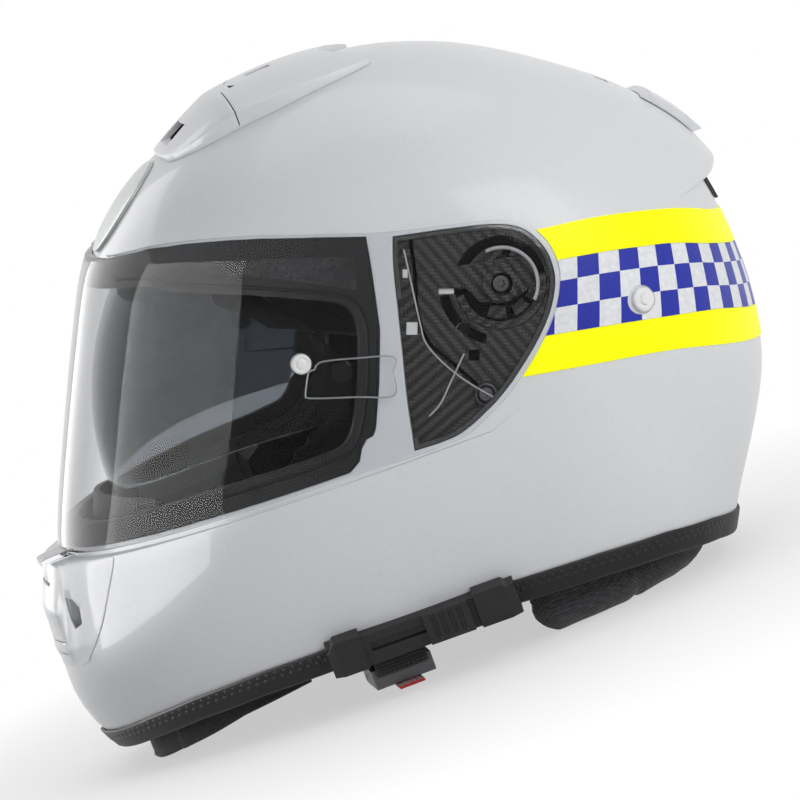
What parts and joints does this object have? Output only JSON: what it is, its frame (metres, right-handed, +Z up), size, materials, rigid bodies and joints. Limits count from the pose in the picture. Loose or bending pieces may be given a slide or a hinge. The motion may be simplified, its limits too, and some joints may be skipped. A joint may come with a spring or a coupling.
{
  "type": "police motorcycle helmet",
  "caption": "Full-face motorcycle helmet with clear visor, inner sun visor, vents and reflective check bands.",
  "frame": {"origin": "bottom centre of the helmet as it stands", "axes": "front faces -X, wearer's left is -Y, +Z is up"},
  "size_m": [0.3497, 0.2702, 0.2735],
  "materials": {
    "shell_white": "gloss",
    "rubber_black": "matt",
    "foam_black": "matt",
    "lining_grey": "matt",
    "fabric_black": "matt",
    "clear": "polished",
    "smoke": "polished",
    "plastic_black": "satin",
    "weave_plate": "gloss",
    "white_plastic": "satin",
    "steel": "satin",
    "yellow_film": "reflective",
    "check_film": "reflective",
    "badge_grey": "satin",
    "red_webbing": "matt"
  },
  "bodies": {
    "helmet": {"outer_shell": "shell_white", "bottom_trim": "rubber_black", "eyeport_seal": "rubber_black", "eps_liner": "foam_black", "chin_eps": "foam_black", "crown_pad": "lining_grey", "left_cheek_pad": "lining_grey", "right_cheek_pad": "lining_grey", "neck_roll": "lining_grey", "chin_curtain": "fabric_black", "breath_deflector": "rubber_black", "left_base_plate": "weave_plate", "right_base_plate": "weave_plate", "left_visor_hub": "plastic_black", "right_visor_hub": "plastic_black", "plate_screws": "steel", "sun_visor_pins": "steel", "sun_visor_cable": "plastic_black", "lever_track": "plastic_black", "top_vent_cover": "shell_white", "top_vent_grille": "plastic_black", "chin_vent_cover": "shell_white", "chin_vent_mesh": "steel", "rear_exhaust_cover": "shell_white", "rear_exhaust_insert": "plastic_black", "upper_yellow_tape": "yellow_film", "check_band": "check_film", "lower_yellow_tape": "yellow_film", "snap_studs": "white_plastic", "forehead_badge": "badge_grey", "left_strap": "fabric_black", "right_strap": "fabric_black", "strap_hangers": "steel", "buckle_body": "steel", "strap_tongue": "plastic_black", "buckle_pin": "steel"},
    "visor": {"visor": "clear", "visor_pins": "white_plastic"},
    "sun_visor": {"sun_visor": "smoke"},
    "sun_visor_lever": {"lever_slider": "plastic_black"},
    "crown_vent_slider": {"top_vent_slider": "shell_white"},
    "chin_vent_shutter": {"chin_vent_shutter": "plastic_black"},
    "buckle_lever": {"buckle_lever": "plastic_black", "buckle_tab": "red_webbing"}
  },
  "joints": [
    {"name": "visor_hinge", "type": "hinge", "parent": "helmet", "child": "visor", "pos_m": [0.056, 0, 0.161], "axis": [0, 1, 0], "range_deg": [0, 45]},
    {"name": "sun_visor_hinge", "type": "hinge", "parent": "helmet", "child": "sun_visor", "pos_m": [-0.0054, 0, 0.1227], "axis": [0, 1, 0], "range_deg": [0, 40]},
    {"name": "sun_visor_lever", "type": "slide", "parent": "helmet", "child": "sun_visor_lever", "axis": [-0.9921, 0.1253, 0], "range_m": [0, 0.028]},
    {"name": "crown_vent_slide", "type": "slide", "parent": "helmet", "child": "crown_vent_slider", "axis": [1, 0, 0], "range_m": [0, 0.008]},
    {"name": "chin_vent_slide", "type": "slide", "parent": "helmet", "child": "chin_vent_shutter", "axis": [0, 0, 1], "range_m": [0, 0.006]},
    {"name": "buckle_release", "type": "hinge", "parent": "helmet", "child": "buckle_lever", "pos_m": [-0.039, -0.052, 0.007], "axis": [1, 0, 0], "range_deg": [0, 40], "stiffness_Nm_per_rad": 0.02}
  ],
  "couplings": [
    {"joint": "sun_visor_lever", "follows": "sun_visor_hinge", "m_per_rad": 0.0401}
  ]
}
